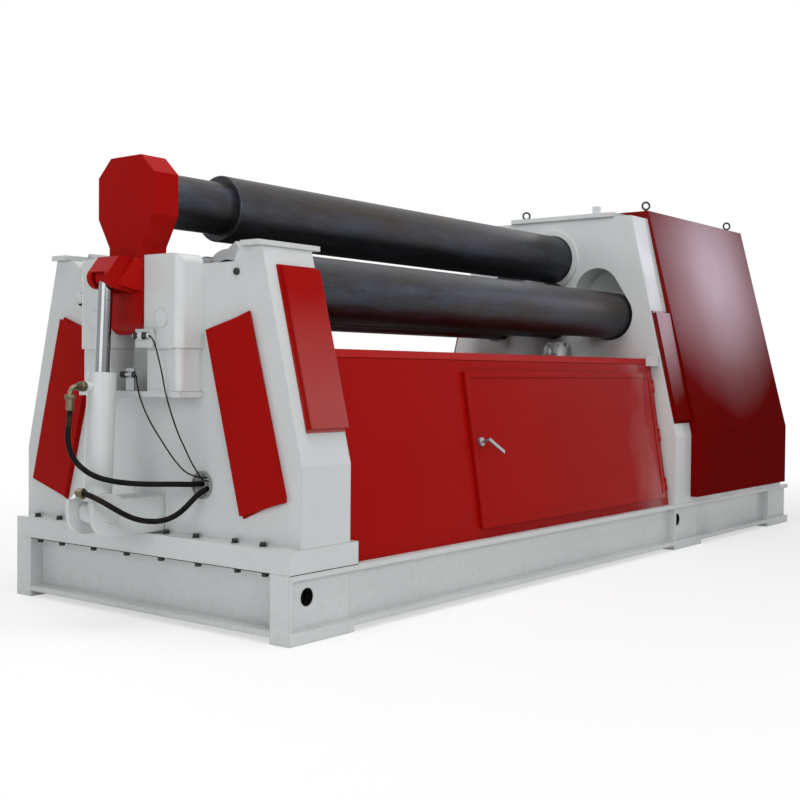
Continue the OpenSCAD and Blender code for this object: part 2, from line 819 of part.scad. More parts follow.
// Plate on a stand-off from the front ear, carrying a sensor that looks at the neck.
module sensor_plate() {
    color("silver") {
        box_between([sensor_x - 8, -215, sensor_z - 56], [sensor_x, 24.5 - neck_half, sensor_z + 32]);
        box_between([sensor_x - 1, -205, sensor_z - 30], [tilt_x - ear_out, -160, sensor_z + 12]);
        box_between([sensor_x - 30, -165, sensor_z - 18], [sensor_x - 7, -125, sensor_z + 18]);
        translate([sensor_x - 21, 0, sensor_z]) bar_y(-206, -100, 12);
    }
}

module limit_sensor() {
    x = tilt_x - ear_out + 20;
    color("silver") {
        box_between([x, -30, web_foot], [x + 8, 30, web_foot + 108]);
        translate([x - 7, 0, web_foot + 78]) bar_y(-46, 60, 9);
    }
}

nut_r = 19;
port_gap = part_gap + nut_r * sin(cylinder_lean);    // a nut's face is upright and a port's leans

// Elbow of a hydraulic line: nut, quarter bend of radius r and a crimped ferrule.
module elbow(straight, r, ferrule) {
    rotate([0, -90, 0]) cylinder(h = straight, r = nut_r);
    translate([-straight, 0, 0]) rotate([90, 0, 0]) rotate([0, 0, 90]) translate([-r, 0, 0])
        rotate_extrude(angle = 90) translate([r, 0]) circle(12);
    translate([-straight - r, 0, -r - ferrule]) cylinder(h = ferrule, r = 18);
}

module hose_fittings() {
    color("goldenrod") {
        translate([port(upper_port)[0] - port_gap, 0, port(upper_port)[1]]) elbow(45, 40, 70);
        translate([port(lower_port)[0] - port_gap, 0, port(lower_port)[1]])
            rotate([-90, 0, 0]) elbow(10, 28, 40);
    }
}

function unit(v) = v / norm(v);
function side_step(s, t) = unit(s - t * (s * t));
function tangents(p) = [for (i = [0:len(p) - 1])
    unit(p[min(i + 1, len(p) - 1)] - p[max(i - 1, 0)])];

// Round tube swept along the points of a route.
module sweep(p, d, n = 10) {
    t = tangents(p);
    first = side_step([0.31, 0.43, 0.85], t[0]);
    s = [for (i = 0, v = first; i < len(p); i = i + 1, v = side_step(v, t[min(i, len(p) - 1)])) v];
    rings = [for (i = [0:len(p) - 1]) for (k = [0:n - 1])
        p[i] + d / 2 * (cos(360 * k / n) * s[i] + sin(360 * k / n) * cross(t[i], s[i]))];
    last = (len(p) - 1) * n;
    polyhedron(rings, concat(
        [[for (k = [0:n - 1]) k]],
        [for (i = [0:len(p) - 2]) for (k = [0:n - 1]) for (f = [0, 1]) f == 0
            ? [i * n + k, (i + 1) * n + (k + 1) % n, i * n + (k + 1) % n]
            : [i * n + k, (i + 1) * n + k, (i + 1) * n + (k + 1) % n]],
        [[for (k = [0:n - 1]) last + n - 1 - k]]));
}

hose_d = 26;
cable_d = 7;
// Routes are measured from the base's drop end.
upper_route = [[-407.8, 0, 1018.3], [-411, -1, 985], [-419, -3, 940], [-425, -8, 890], [-421, -17, 840],
    [-405, -34, 792], [-376, -60, 750], [-337, -94, 718], [-284, -130, 697], [-226, -166, 685],
    [-166, -202, 678], [-108, -240, 675], [-56, -278, 674], [-10, -315, 673], [16, -334, 672],
    [38, -345, 672], [62, -350, 672], [90, -351, 672]];
lower_route = [[-382.8, -68.3, 639.1], [-379, -100, 631], [-361, -132, 609], [-325, -158, 576], [-275, -182, 543],
    [-220, -206, 515], [-160, -232, 500], [-102, -260, 498], [-55, -290, 512], [-24, -320, 540],
    [-4, -348, 572], [11, -368, 602], [27, -380, 626], [45, -386, 640], [66, -388, 646], [90, -388, 647]];
sensor_route = [[-121, -206, 1368], [-120, -222, 1360], [-117, -240, 1335], [-110, -260, 1270], [-99, -275, 1190],
    [-92, -290, 1110], [-82, -306, 1040], [-70, -325, 970], [-56, -345, 905], [-38, -366, 845],
    [-18, -385, 785], [4, -401, 738], [25, -408, 706], [45, -411, 693], [70, -412, 688], [119.7, -412, 687]];
limit_route = [[-68, -46, 1185], [-73, -60, 1177], [-82, -76, 1150], [-90, -100, 1100], [-92, -135, 1035],
    [-88, -180, 965], [-80, -230, 900], [-68, -280, 835], [-50, -322, 778], [-26, -358, 735],
    [4, -380, 716], [38, -385, 706], [70, -385, 703], [119.7, -385, 702]];

module upper_hose() { color("black") translate([left_end, 0, 0]) sweep(upper_route, hose_d); }

module lower_hose() { color("black") translate([left_end, 0, 0]) sweep(lower_route, hose_d); }

module sensor_cable() { color("black") translate([left_end, 0, 0]) sweep(sensor_route, cable_d, 8); }

module limit_cable() { color("black") translate([left_end, 0, 0]) sweep(limit_route, cable_d, 8); }

base_boxes();
base_rails();
end_beams();
cross_members();
drop_foot_plate();
drop_end_stand();
drop_caps();
ears();
ear_ledge();
slope_covers();
face_covers();
cylinder_bracket();
line_gland();
sensor_plate();
limit_sensor();
sensor_cable();
limit_cable();
drive_end_stand();
drive_cap();
drive_side_covers();
drive_plinth();
drive_cover();
lifting_eyes();
lift_cylinder();
cabinet_front();
cabinet_top_plate();
cabinet_walls();
door_hinges();
rear_housing();
cabinet_door();
door_handle();
top_roll();
bottom_roll();
bottom_blocks();
front_roll();
front_blocks();
rear_roll();
rear_blocks();
bearing_housing();
tilt_pin();
cylinder_barrel();
piston_rod();
hose_fittings();
upper_hose();
lower_hose();
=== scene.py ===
import json
import math
import bpy
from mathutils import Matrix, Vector


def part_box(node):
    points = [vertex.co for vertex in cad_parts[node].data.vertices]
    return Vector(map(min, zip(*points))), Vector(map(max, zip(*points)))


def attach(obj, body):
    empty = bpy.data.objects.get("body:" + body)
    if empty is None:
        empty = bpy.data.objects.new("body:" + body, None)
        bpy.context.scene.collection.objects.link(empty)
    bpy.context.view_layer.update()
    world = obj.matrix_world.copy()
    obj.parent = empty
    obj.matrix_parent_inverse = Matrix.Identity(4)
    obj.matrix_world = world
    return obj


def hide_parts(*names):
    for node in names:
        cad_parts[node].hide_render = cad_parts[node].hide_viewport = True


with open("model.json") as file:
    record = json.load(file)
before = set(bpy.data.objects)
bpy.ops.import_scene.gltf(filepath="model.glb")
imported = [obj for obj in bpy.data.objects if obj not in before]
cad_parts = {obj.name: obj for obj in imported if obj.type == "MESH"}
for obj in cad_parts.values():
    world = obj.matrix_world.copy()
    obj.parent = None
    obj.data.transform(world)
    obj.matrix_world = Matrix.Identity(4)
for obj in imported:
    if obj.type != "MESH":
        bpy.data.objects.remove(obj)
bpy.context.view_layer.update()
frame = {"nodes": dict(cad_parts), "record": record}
nodes = frame["nodes"]
print("frame loaded,", len(nodes), "nodes")

# the base's drop end, from which the lengths below are counted
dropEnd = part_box("base_boxes")[0].x


class Sock:
    # a node socket that adds Math nodes when it is used in an expression
    def __init__(self, mat, link):
        self.mat = mat
        self.link = link

    def math(self, op, other=None, flip=False):
        # flip puts the other value first
        made = self.mat.add("ShaderNodeMath", {"operation": op})
        pair = (other, self) if flip else (self, other)
        for i, v in enumerate(pair):
            if v is not None:
                self.mat.put(made.inputs[i], v)
        return Sock(self.mat, made.outputs[0])

    def __add__(self, other):
        return self.math("ADD", other)

    def __radd__(self, other):
        return self.math("ADD", other)

    def __sub__(self, other):
        return self.math("SUBTRACT", other)

    def __rsub__(self, other):
        return self.math("SUBTRACT", other, flip=True)

    def __mul__(self, other):
        return self.math("MULTIPLY", other)

    def __rmul__(self, other):
        return self.math("MULTIPLY", other)


class Mat:
    # a material with its Principled shader, and a few words to build its nodes
    def __init__(self, name, **constants):
        self.mat = bpy.data.materials.new(name)
        self.mat.use_nodes = True
        self.tree = self.mat.node_tree
        self.shader = self.tree.nodes["Principled BSDF"]
        for k, v in constants.items():
            self.put(self.shader.inputs[k.replace("_", " ")], v)
        self.coords = Sock(self, self.add("ShaderNodeTexCoord").outputs["Object"])

    def add(self, kind, settings=None, **values):
        node = self.tree.nodes.new(kind)
        for k, v in (settings or {}).items():
            setattr(node, k, v)
        for k, v in values.items():
            self.put(node.inputs[k.replace("_", " ")], v)
        return node

    def put(self, socket, v):
        if isinstance(v, Sock):
            self.tree.links.new(v.link, socket)
        else:
            socket.default_value = v

    def scaled(self, x, y, z):
        return Sock(self, self.add("ShaderNodeMapping", Vector=self.coords, Scale=(x, y, z)).outputs[0])

    def noise(self, scale, detail=3.0, rough=0.5, vector=None):
        node = self.add("ShaderNodeTexNoise", Vector=vector or self.coords, Scale=scale, Detail=detail,
                        Roughness=rough)
        return Sock(self, node.outputs["Fac"])

    def axis(self, which):
        return Sock(self, self.add("ShaderNodeSeparateXYZ", Vector=self.coords).outputs[which])

    def ramp(self, value, low, high):
        # 0 at low, 1 at high, whichever is the larger
        node = self.add("ShaderNodeMapRange", {"clamp": True}, Value=value, From_Min=low, From_Max=high)
        return Sock(self, node.outputs[0])

    def mix(self, share, first, second):
        # a colour Mix node has its two colours on sockets 6 and 7 and gives them on 2
        node = self.add("ShaderNodeMix", {"data_type": "RGBA"}, Factor=share)
        self.put(node.inputs[6], first)
        self.put(node.inputs[7], second)
        return Sock(self, node.outputs[2])

    def bump(self, height, strength, distance, edge=0.0):
        # edge is the radius by which sharp edges catch the light
        node = self.add("ShaderNodeBump", Height=height, Strength=strength, Distance=distance)
        if edge:
            soft = self.add("ShaderNodeBevel", {"samples": 4}, Radius=edge)
            self.tree.links.new(soft.outputs[0], node.inputs["Normal"])
        self.tree.links.new(node.outputs[0], self.shader.inputs["Normal"])

    def set(self, **links):
        for k, v in links.items():
            self.put(self.shader.inputs[k.replace("_", " ")], v)
        return self.mat


camera = {"place": (dropEnd - 3.822, -4.582, 1.203), "turn": -52.03, "tilt": -1.283, "roll": -0.485,
          "lens": 54.13, "sensor": 36, "reach": 200}
cameraData = bpy.data.cameras.new("camera")
cameraData.lens = camera["lens"]
cameraData.sensor_width = camera["sensor"]
cameraData.clip_end = camera["reach"]
cameraObject = bpy.data.objects.new("camera", cameraData)
bpy.context.scene.collection.objects.link(cameraObject)
cameraObject.location = camera["place"]
cameraTurns = (90 + camera["tilt"], camera["roll"], camera["turn"])
cameraObject.rotation_euler = [math.radians(a) for a in cameraTurns]
bpy.context.scene.camera = cameraObject


def paintWhite():
    m = Mat("whiteEnamel", Specular_IOR_Level=0.3, Coat_Roughness=0.12)
    cloud = m.noise(1.3, 4, 0.6)
    dust = m.ramp(m.noise(7.0, 6, 0.65), 0.56, 0.8)
    low = m.ramp(m.axis("Z") + m.noise(9.0, 5, 0.7) * 0.12, 0.42, 0.06)    # splashes near the floor
    tone = m.mix(cloud, (0.54, 0.565, 0.565, 1), (0.62, 0.64, 0.635, 1))
    tone = m.mix(dust * 0.22, tone, (0.43, 0.42, 0.38, 1))
    tone = m.mix(low * m.ramp(m.noise(24.0, 6, 0.7), 0.5, 0.72) * 0.35, tone, (0.36, 0.34, 0.30, 1))
    m.bump(m.noise(55.0, 3, 0.6), 0.10, 0.0012, edge=0.009)
    return m.set(Base_Color=tone, Roughness=0.28 + m.noise(4.0, 4) * 0.22,
                 Coat_Weight=m.ramp(m.noise(2.6, 3), 0.35, 0.65) * 0.5)


def paintRed(name="redEnamel", gloss=None):
    # gloss says where the lacquer shines, from 0 to 1
    m = Mat(name, Specular_IOR_Level=0.03, Coat_Roughness=0.16)
    cloud = m.noise(1.1, 4, 0.6)
    tone = m.mix(cloud, (0.29, 0.0028, 0.0018, 1), (0.36, 0.0060, 0.0042, 1))
    scuff = m.ramp(m.noise(16.0, 7, 0.72), 0.66, 0.80)
    tone = m.mix(scuff * 0.25, tone, (0.22, 0.004, 0.004, 1))
    m.bump(m.noise(38.0, 3, 0.55), 0.10, 0.0015, edge=0.006)
    shine = gloss(m) if gloss else m.ramp(m.noise(1.9, 3), 0.55, 0.75) * 0.25
    return m.set(Base_Color=tone, Roughness=0.22 + m.noise(3.0, 4) * 0.18, Coat_Weight=shine)


def lowGloss(m):
    # brighter towards the foot of the end covers
    return m.ramp(m.axis("Z") + m.noise(2.5, 3) * 0.25, 1.70, 1.20)


def endGloss(m):
    # a wide patch towards the door's hinges
    away = (m.axis("X") - hingeSide).math("ABSOLUTE") + m.noise(2.0, 4) * 0.6
    return m.ramp(away, 0.62, 0.35) * 0.6


def paintCover(name, middle, reach):
    # deeper red, polished in a wide patch around the middle given
    m = Mat(name, Specular_IOR_Level=0.0, Coat_Roughness=0.30)
    away = m.add("ShaderNodeVectorMath", {"operation": "DISTANCE"}, Vector=m.coords)
    away.inputs[1].default_value = middle
    away = Sock(m, away.outputs["Value"]) + m.noise(1.0, 3, 0.5) * 0.45
    tone = m.mix(m.noise(1.1, 4, 0.6), (0.13, 0.0010, 0.0006, 1), (0.18, 0.0022, 0.0016, 1))
    m.bump(m.noise(38.0, 3, 0.55), 0.10, 0.0015, edge=0.005)
    return m.set(Base_Color=tone, Roughness=0.4 + m.noise(3.0, 4) * 0.2,
                 Coat_Weight=m.ramp(away, reach + 0.2, 0.35) * 0.95 + 0.02)


def rollSteel():
    m = Mat("rollSteel", Metallic=0.85, Specular_IOR_Level=0.3)
    turned = m.noise(60.0, 4, 0.6, m.scaled(6.0, 0.3, 0.3))
    blotch = m.ramp(m.noise(2.6, 9, 0.78, m.scaled(0.35, 1.8, 1.8)), 0.33, 0.70)
    brown = m.ramp(m.noise(1.7, 8, 0.75, m.scaled(0.4, 2.2, 2.2)), 0.42, 0.62)
    tone = m.mix(blotch, (0.014, 0.014, 0.016, 1), (0.075, 0.086, 0.112, 1))
    tone = m.mix(brown * 0.85, tone, (0.040, 0.028, 0.018, 1))
    tone = m.mix(m.ramp(m.noise(5.0, 6, 0.75), 0.60, 0.78) * 0.4, tone, (0.10, 0.10, 0.11, 1))
    m.bump(turned, 0.12, 0.0008, edge=0.004)
    return m.set(Base_Color=tone, Roughness=0.34 + blotch * 0.16 + turned * 0.06)


def machinedSteel():
    m = Mat("machinedSteel", Metallic=0.9)
    grain = m.noise(90.0, 3, 0.6, m.scaled(1, 1, 6))
    tone = m.mix(m.noise(9.0, 5), (0.30, 0.31, 0.32, 1), (0.42, 0.43, 0.44, 1))
    m.bump(grain, 0.15, 0.0005, edge=0.002)
    return m.set(Base_Color=tone, Roughness=0.28 + grain * 0.2)


def blackSteel():
    m = Mat("blackenedSteel", Metallic=0.6, Specular_IOR_Level=0.4)
    tone = m.mix(m.noise(30.0, 5), (0.018, 0.018, 0.020, 1), (0.045, 0.045, 0.047, 1))
    m.bump(m.noise(160.0, 3), 0.2, 0.0005)
    return m.set(Base_Color=tone, Roughness=0.35 + m.noise(20.0, 3) * 0.25)


def hardChrome():
    m = Mat("hardChrome", Metallic=1.0)
    tone = m.mix(m.noise(5.0, 4), (0.19, 0.195, 0.205, 1), (0.27, 0.275, 0.285, 1))
    m.bump(m.noise(120.0, 2, 0.5, m.scaled(1, 1, 0.15)), 0.04, 0.0003)
    return m.set(Base_Color=tone, Roughness=0.07 + m.noise(12.0, 4) * 0.08)


def dullBrass():
    m = Mat("dullBrass", Metallic=1.0)
    tone = m.mix(m.noise(40.0, 5), (0.085, 0.070, 0.042, 1), (0.20, 0.165, 0.10, 1))
    m.bump(m.noise(180.0, 3), 0.15, 0.0004, edge=0.001)
    return m.set(Base_Color=tone, Roughness=0.30 + m.noise(30.0, 3) * 0.2)


def hoseRubber():
    m = Mat("hoseRubber", Specular_IOR_Level=0.05)
    outsideLight = m.ramp(m.axis("X"), dropEnd - 0.33, dropEnd - 0.40)      # lighter brown, strongest where it hangs outside: wear, and painted light on that stretch
    # wear patches, made stronger outside as painted light
    wearAndLight = m.ramp(m.noise(11.0, 6, 0.7), 0.45, 0.70) * (0.15 + outsideLight * 0.85)
    tone = m.mix(m.noise(14.0, 5), (0.003, 0.003, 0.003, 1), (0.008, 0.008, 0.008, 1))
    tone = m.mix(wearAndLight * 0.7, tone, (0.060, 0.042, 0.022, 1))
    m.bump(m.noise(260.0, 2), 0.25, 0.0004)
    return m.set(Base_Color=tone, Roughness=0.34 + m.noise(25.0, 4) * 0.25)


def blackForShadeAndJoints():
    # near black: painted shade inside holes, and the dark joint lines
    m = Mat("blackForShadeAndJoints", Specular_IOR_Level=0.1)
    tone = m.mix(m.noise(30.0, 3), (0.004, 0.004, 0.004, 1), (0.012, 0.012, 0.012, 1))
    return m.set(Base_Color=tone, Roughness=0.6 + m.noise(12.0, 3) * 0.2)


def greyRing():
    m = Mat("grommet", Specular_IOR_Level=0.2)
    tone = m.mix(m.noise(20.0, 3), (0.20, 0.20, 0.20, 1), (0.27, 0.27, 0.27, 1))
    return m.set(Base_Color=tone, Roughness=0.5 + m.noise(9.0, 3) * 0.2)


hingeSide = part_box("cabinet_door")[1].x - 0.12
finish = {
    "machine_white": paintWhite(), "machine_red": paintRed(), "roll_steel": rollSteel(),
    "machined_steel": machinedSteel(), "dark_steel": blackSteel(), "rod_chrome": hardChrome(),
    "fitting_brass": dullBrass(), "line_rubber": hoseRubber(),
}
shadeAndJointBlack = blackForShadeAndJoints()
slotOf = {s["node"]: s["material_slot"] for s in frame["record"]["subparts"]}
for name, o in nodes.items():
    o.data.materials.clear()
    o.data.materials.append(finish[slotOf[name]])

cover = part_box("drive_cover")
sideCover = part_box("drive_side_covers")
coverGlow = (cover[0].x + 0.85, -0.72, cover[1].z - 0.42)
sideCoverGlow = (sideCover[0].x, sideCover[0].y + 0.2, sideCover[1].z)
ownFinish = {
    "drive_cover": paintCover("coverEnamel", coverGlow, 1.15),
    "drive_side_covers": paintCover("sideCoverEnamel", sideCoverGlow, 0.7),
    "line_gland": greyRing(), "sensor_plate": finish["machine_white"],
    "slope_covers": paintRed("slopeEnamel", lowGloss),
    "cabinet_front": paintRed("cabinetEnamel", endGloss), "cabinet_door": paintRed("doorEnamel", endGloss),
}
for name, look in ownFinish.items():
    nodes[name].data.materials[0] = look
print("finishes set")


def pick(*objects):
    # selects these alone, the first one active
    bpy.ops.object.select_all(action="DESELECT")
    for o in objects:
        o.select_set(True)
    bpy.context.view_layer.objects.active = objects[0]


def joined(name, objects):
    pick(*objects)
    bpy.ops.object.join()
    objects[0].name = name
    return objects[0]


def added(primitive, **sizes):
    # a new primitive with nothing else selected
    bpy.ops.object.select_all(action="DESELECT")
    primitive(**sizes)
    return bpy.context.object


def chamfered(o, width):
    edge = o.modifiers.new("edge", "BEVEL")
    edge.width = width
    edge.segments = 2
    pick(o)
    bpy.ops.object.modifier_apply(modifier="edge")


def curveOf(name):
    curve = bpy.data.curves.new(name, "CURVE")
    o = bpy.data.objects.new(name, curve)
    bpy.context.scene.collection.objects.link(o)
    return o, curve


def wear(o, slot, body, look=None):
    # puts the piece's place in its mesh, gives it its finish and its body
    pick(o)
    bpy.ops.object.transform_apply(location=True, rotation=True, scale=True)
    bpy.ops.object.shade_smooth_by_angle(angle=math.radians(30))
    o.data.materials.clear()
    o.data.materials.append(look or finish[slot])
    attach(o, body)
    return o


# routes in metres: x from the base's drop end, y from the centre line, z from the floor
upperHose = {
    "route": [
        (-0.4078, 0, 1.0183), (-0.411, -0.001, 0.985), (-0.419, -0.003, 0.940), (-0.425, -0.008, 0.890),
        (-0.421, -0.017, 0.840), (-0.405, -0.034, 0.792), (-0.376, -0.060, 0.750), (-0.337, -0.094, 0.718),
        (-0.284, -0.130, 0.697), (-0.226, -0.166, 0.685), (-0.166, -0.202, 0.678), (-0.108, -0.240, 0.675),
        (-0.056, -0.278, 0.674), (-0.010, -0.315, 0.673), (0.016, -0.334, 0.672), (0.038, -0.345, 0.672),
        (0.062, -0.350, 0.672), (0.090, -0.351, 0.672)],
    "thick": 0.026, "stiffness": "stiff", "body": "cylinder"}
lowerHose = {
    "route": [
        (-0.383, -0.068, 0.639), (-0.381, -0.100, 0.635), (-0.373, -0.132, 0.625), (-0.356, -0.161, 0.609),
        (-0.330, -0.185, 0.588), (-0.296, -0.203, 0.564), (-0.254, -0.218, 0.539), (-0.205, -0.235, 0.518),
        (-0.154, -0.255, 0.507), (-0.106, -0.278, 0.507), (-0.068, -0.301, 0.518), (-0.038, -0.322, 0.538),
        (-0.013, -0.341, 0.564), (0.009, -0.357, 0.592), (0.033, -0.371, 0.619), (0.060, -0.381, 0.639),
        (0.090, -0.388, 0.651)],
    "thick": 0.026, "stiffness": "stiff", "body": "cylinder"}
sensorCable = {
    "route": [
        (-0.121, -0.206, 1.368), (-0.120, -0.222, 1.360), (-0.117, -0.240, 1.335), (-0.110, -0.260, 1.270),
        (-0.099, -0.275, 1.190), (-0.092, -0.290, 1.110), (-0.082, -0.306, 1.040), (-0.070, -0.325, 0.970),
        (-0.056, -0.345, 0.905), (-0.038, -0.366, 0.845), (-0.018, -0.385, 0.785), (0.004, -0.401, 0.738),
        (0.025, -0.408, 0.706), (0.045, -0.411, 0.693), (0.070, -0.412, 0.688), (0.1197, -0.412, 0.687)],
    "thick": 0.007, "stiffness": "medium", "body": "frame"}
limitCable = {
    "route": [
        (-0.068, -0.046, 1.185), (-0.073, -0.060, 1.177), (-0.082, -0.076, 1.150), (-0.090, -0.100, 1.100),
        (-0.092, -0.135, 1.035), (-0.088, -0.180, 0.965), (-0.080, -0.230, 0.900), (-0.068, -0.280, 0.835),
        (-0.050, -0.322, 0.778), (-0.026, -0.358, 0.735), (0.004, -0.380, 0.716), (0.038, -0.385, 0.706),
        (0.070, -0.385, 0.703), (0.1197, -0.385, 0.702)],
    "thick": 0.007, "stiffness": "medium", "body": "frame"}


def layLine(name, line, node):
    points = [Vector((dropEnd + x, y, z)) for x, y, z in line["route"]]
    o, curve = curveOf(name)
    curve.dimensions = "3D"
    curve.resolution_u = 10
    curve.bevel_depth = line["thick"] / 2
    curve.bevel_resolution = 5
    curve.use_fill_caps = True
    spline = curve.splines.new("BEZIER")
    spline.bezier_points.add(len(points) - 1)
    for knot, p in zip(spline.bezier_points, points):
        knot.co = p
        knot.handle_left_type = knot.handle_right_type = "AUTO"
    curve.materials.append(finish["line_rubber"])
    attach(o, line["body"])
    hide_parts(node)


layLine("upperHose", upperHose, "upper_hose")
layLine("lowerHose", lowerHose, "lower_hose")
layLine("sensorCable", sensorCable, "sensor_cable")
layLine("limitCable", limitCable, "limit_cable")
print("hoses and cables laid")


def hexHead(name, head):
    # a hexagon head on its washer, standing on the origin; the washer sinks into the head and the face
    washerTall = 0.003
    sunk = 0.0005
    acrossToRadius = 1 / 1.732
    hexagon = added(bpy.ops.mesh.primitive_cylinder_add, vertices=6, radius=head["across"] * acrossToRadius,
                    depth=head["tall"], location=(0, 0, head["tall"] / 2 + washerTall))
    chamfered(hexagon, head["tall"] * 0.12)
    washer = added(bpy.ops.mesh.primitive_cylinder_add, vertices=24, radius=head["washer"],
                   depth=washerTall + 2 * sunk, location=(0, 0, washerTall / 2))
    made = joined(name, [hexagon, washer])
    bpy.ops.object.transform_apply(location=True, rotation=True, scale=True)
    return made


def repeated(name, first, spots):
    # copies of first, each at its place and turn, joined into one piece
    copies = []
    for place, turn in spots:
        o = first.copy()
        o.data = first.data.copy()
        bpy.context.scene.collection.objects.link(o)
        o.location = place
        o.rotation_euler = turn
        copies.append(o)
    bpy.data.objects.remove(first)
    return joined(name, copies)


# two rows of fasteners, each head turned a little differently from the next
plateBolts = {"x": 0.047, "y": (0.883, 0.697, -0.142, -0.351, -0.611, -0.791), "side": 0.0,
              "across": 0.027, "tall": 0.017, "washer": 0.018, "turn": 0.3, "twist": 7}
beamNuts = {"x": 0.024, "y": (0.826, 0.642, 0.381, 0.122, -0.133, -0.392, -0.653, -0.828), "side": math.pi,
            "across": 0.030, "tall": 0.018, "washer": 0.020, "turn": 0.5, "twist": 5}
plateFoot, plateTop = [corner.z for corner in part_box("drop_foot_plate")]


def fastenerRow(name, row, level):
    spots = [((dropEnd + row["x"], y, level), (row["side"], 0, row["turn"] + y * row["twist"]))
             for y in row["y"]]
    wear(repeated(name, hexHead("fastener", row), spots), "dark_steel", "frame")


fastenerRow("plateBolts", plateBolts, plateTop)
fastenerRow("beamNuts", beamNuts, plateFoot)
print("bolts set")


def bead(name, lines, thick, slot, body):
    # weld beads along straight lines, a little uneven in thickness from step to step
    step = 0.02
    o, curve = curveOf(name)
    curve.dimensions = "3D"
    curve.bevel_depth = thick
    curve.bevel_resolution = 2
    for start, end in lines:
        start, end = Vector(start), Vector(end)
        count = max(4, int((end - start).length / step))
        spline = curve.splines.new("POLY")
        spline.points.add(count)
        for i, p in enumerate(spline.points):
            p.co = (*start.lerp(end, i / count), 1)
            p.radius = 1 + 0.16 * math.sin(i * 2.1) + 0.12 * math.sin(i * 0.73)
    pick(o)
    bpy.ops.object.convert(target="MESH")
    return wear(bpy.context.object, slot, body)


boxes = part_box("base_boxes")
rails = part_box("base_rails")
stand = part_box("drop_end_stand")
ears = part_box("ears")
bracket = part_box("cylinder_bracket")
half = boxes[1].y
web = {"y": half - 0.046, "foot": 0.058, "head": plateFoot - 0.028}      # the rails' recessed panel
beam = {"x": dropEnd + 0.076, "end": half - 0.125}                       # the end beam's web
panel = {"start": dropEnd + 0.024, "y": half - 0.030}                    # the boxes' recessed panel
ear = {"x": ears[0].x + 0.008, "inner": 0.150, "outer": ears[1].y - 0.045, "side": ears[1].y - 0.012,
       "foot": ears[0].z, "waist": ears[0].z + 0.203, "head": ears[1].z - 0.05}
beads = [((beam["x"], -beam["end"], z), (beam["x"], beam["end"], z)) for z in (web["foot"], plateFoot)]
for side in (-1, 1):
    railY = side * web["y"]
    panelY = side * panel["y"]
    earSide = side * ear["side"]
    bracketY = side * bracket[1].y
    inner = side * ear["inner"]
    outer = side * ear["outer"]
    beads += [((rails[0].x, railY, z), (rails[1].x, railY, z)) for z in (web["foot"], web["head"])]
    beads += [
        ((rails[0].x, railY, web["foot"]), (rails[0].x, railY, web["head"])),
        ((panel["start"], panelY, web["foot"]), (rails[0].x, panelY, web["foot"])),
        ((stand[0].x, side * (bracket[1].y + 0.01), plateTop), (stand[0].x, side * (half - 0.02), plateTop)),
        ((stand[0].x, bracketY, bracket[0].z), (stand[0].x, bracketY, bracket[1].z)),
        ((ear["x"], inner, ear["waist"]), (ear["x"], outer, ear["waist"])),
        ((ear["x"] + 0.004, inner, ear["foot"]), (ear["x"] + 0.004, outer, ear["foot"])),
        ((stand[0].x, earSide, ear["foot"]), (stand[0].x, earSide, ear["waist"])),
        ((stand[0].x, side * ears[1].y, ear["waist"] + 0.004), (stand[0].x, side * ears[1].y, ear["head"]))]
bead("weldBeads", beads, 0.0055, "machine_white", "frame")
print("weld beads laid")


def plateOf(name, outline, reach, slot, body):
    # a plate with its outline in x and z, as wide on each side of the centre line
    o, curve = curveOf(name)
    curve.dimensions = "2D"
    curve.fill_mode = "BOTH"
    curve.extrude = reach
    spline = curve.splines.new("POLY")
    spline.points.add(len(outline) - 1)
    for knot, (x, z) in zip(spline.points, outline):
        knot.co = (x, z, 0, 1)
    spline.use_cyclic_u = True
    o.rotation_euler.x = math.pi / 2
    pick(o)
    bpy.ops.object.convert(target="MESH")
    return wear(bpy.context.object, slot, body)


def around(centre, radius, start, end, count=18):
    # points of an arc, from one angle in degrees to the other
    turns = [math.radians(start + (end - start) * i / count) for i in range(count + 1)]
    return [(centre[0] + radius * math.cos(a), centre[1] + radius * math.sin(a)) for a in turns]


def ring(name, place, turn, shape, slot, body, look=None):
    # a low turned collar with a chamfered edge
    o = added(bpy.ops.mesh.primitive_cylinder_add, vertices=48, radius=shape["radius"], depth=shape["tall"],
              location=place, rotation=turn)
    o.name = name
    chamfered(o, shape["tall"] * 0.2)
    return wear(o, slot, body, look)


alongX = (0, math.pi / 2, 0)
alongY = (math.pi / 2, 0, 0)

# the hood's rounded nose, kept short of the rod at full tilt, and the painted eye of the rod
rodEye = {"x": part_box("bearing_housing")[0].x + 0.052, "z": 1.640, "radius": 0.0395, "tall": 0.099}
nose = {"outer": 0.052, "inner": 0.0425, "start": 133, "end": 152, "reach": 0.052}
eyeCentre = (rodEye["x"], rodEye["z"])
noseOutline = (around(eyeCentre, nose["outer"], nose["start"], nose["end"]) +
               around(eyeCentre, nose["inner"], nose["end"], nose["start"]))
plateOf("hoodNose", noseOutline, nose["reach"], "machine_red", "drop_housing")

# the joint lines round the foot plate's underside
seam = {"tall": 0.003, "out": 0.0006, "in": 0.002, "long": 0.46, "middle": dropEnd + 0.234, "endGap": 0.24}
seamDepth = seam["in"] + seam["out"]
jointLines = [added(bpy.ops.mesh.primitive_cube_add, size=1,
                    location=(dropEnd + (seam["in"] - seam["out"]) / 2, 0, plateFoot),
                    scale=(seamDepth, 2 * half - seam["endGap"], seam["tall"]))]
for side in (-1, 1):
    jointLines.append(added(bpy.ops.mesh.primitive_cube_add, size=1,
                            location=(seam["middle"], side * (half - seam["in"] / 2), plateFoot),
                            scale=(seam["long"], seam["in"] + 2 * seam["out"], seam["tall"])))
wear(joined("jointLines", jointLines), "dark_steel", "frame", shadeAndJointBlack)

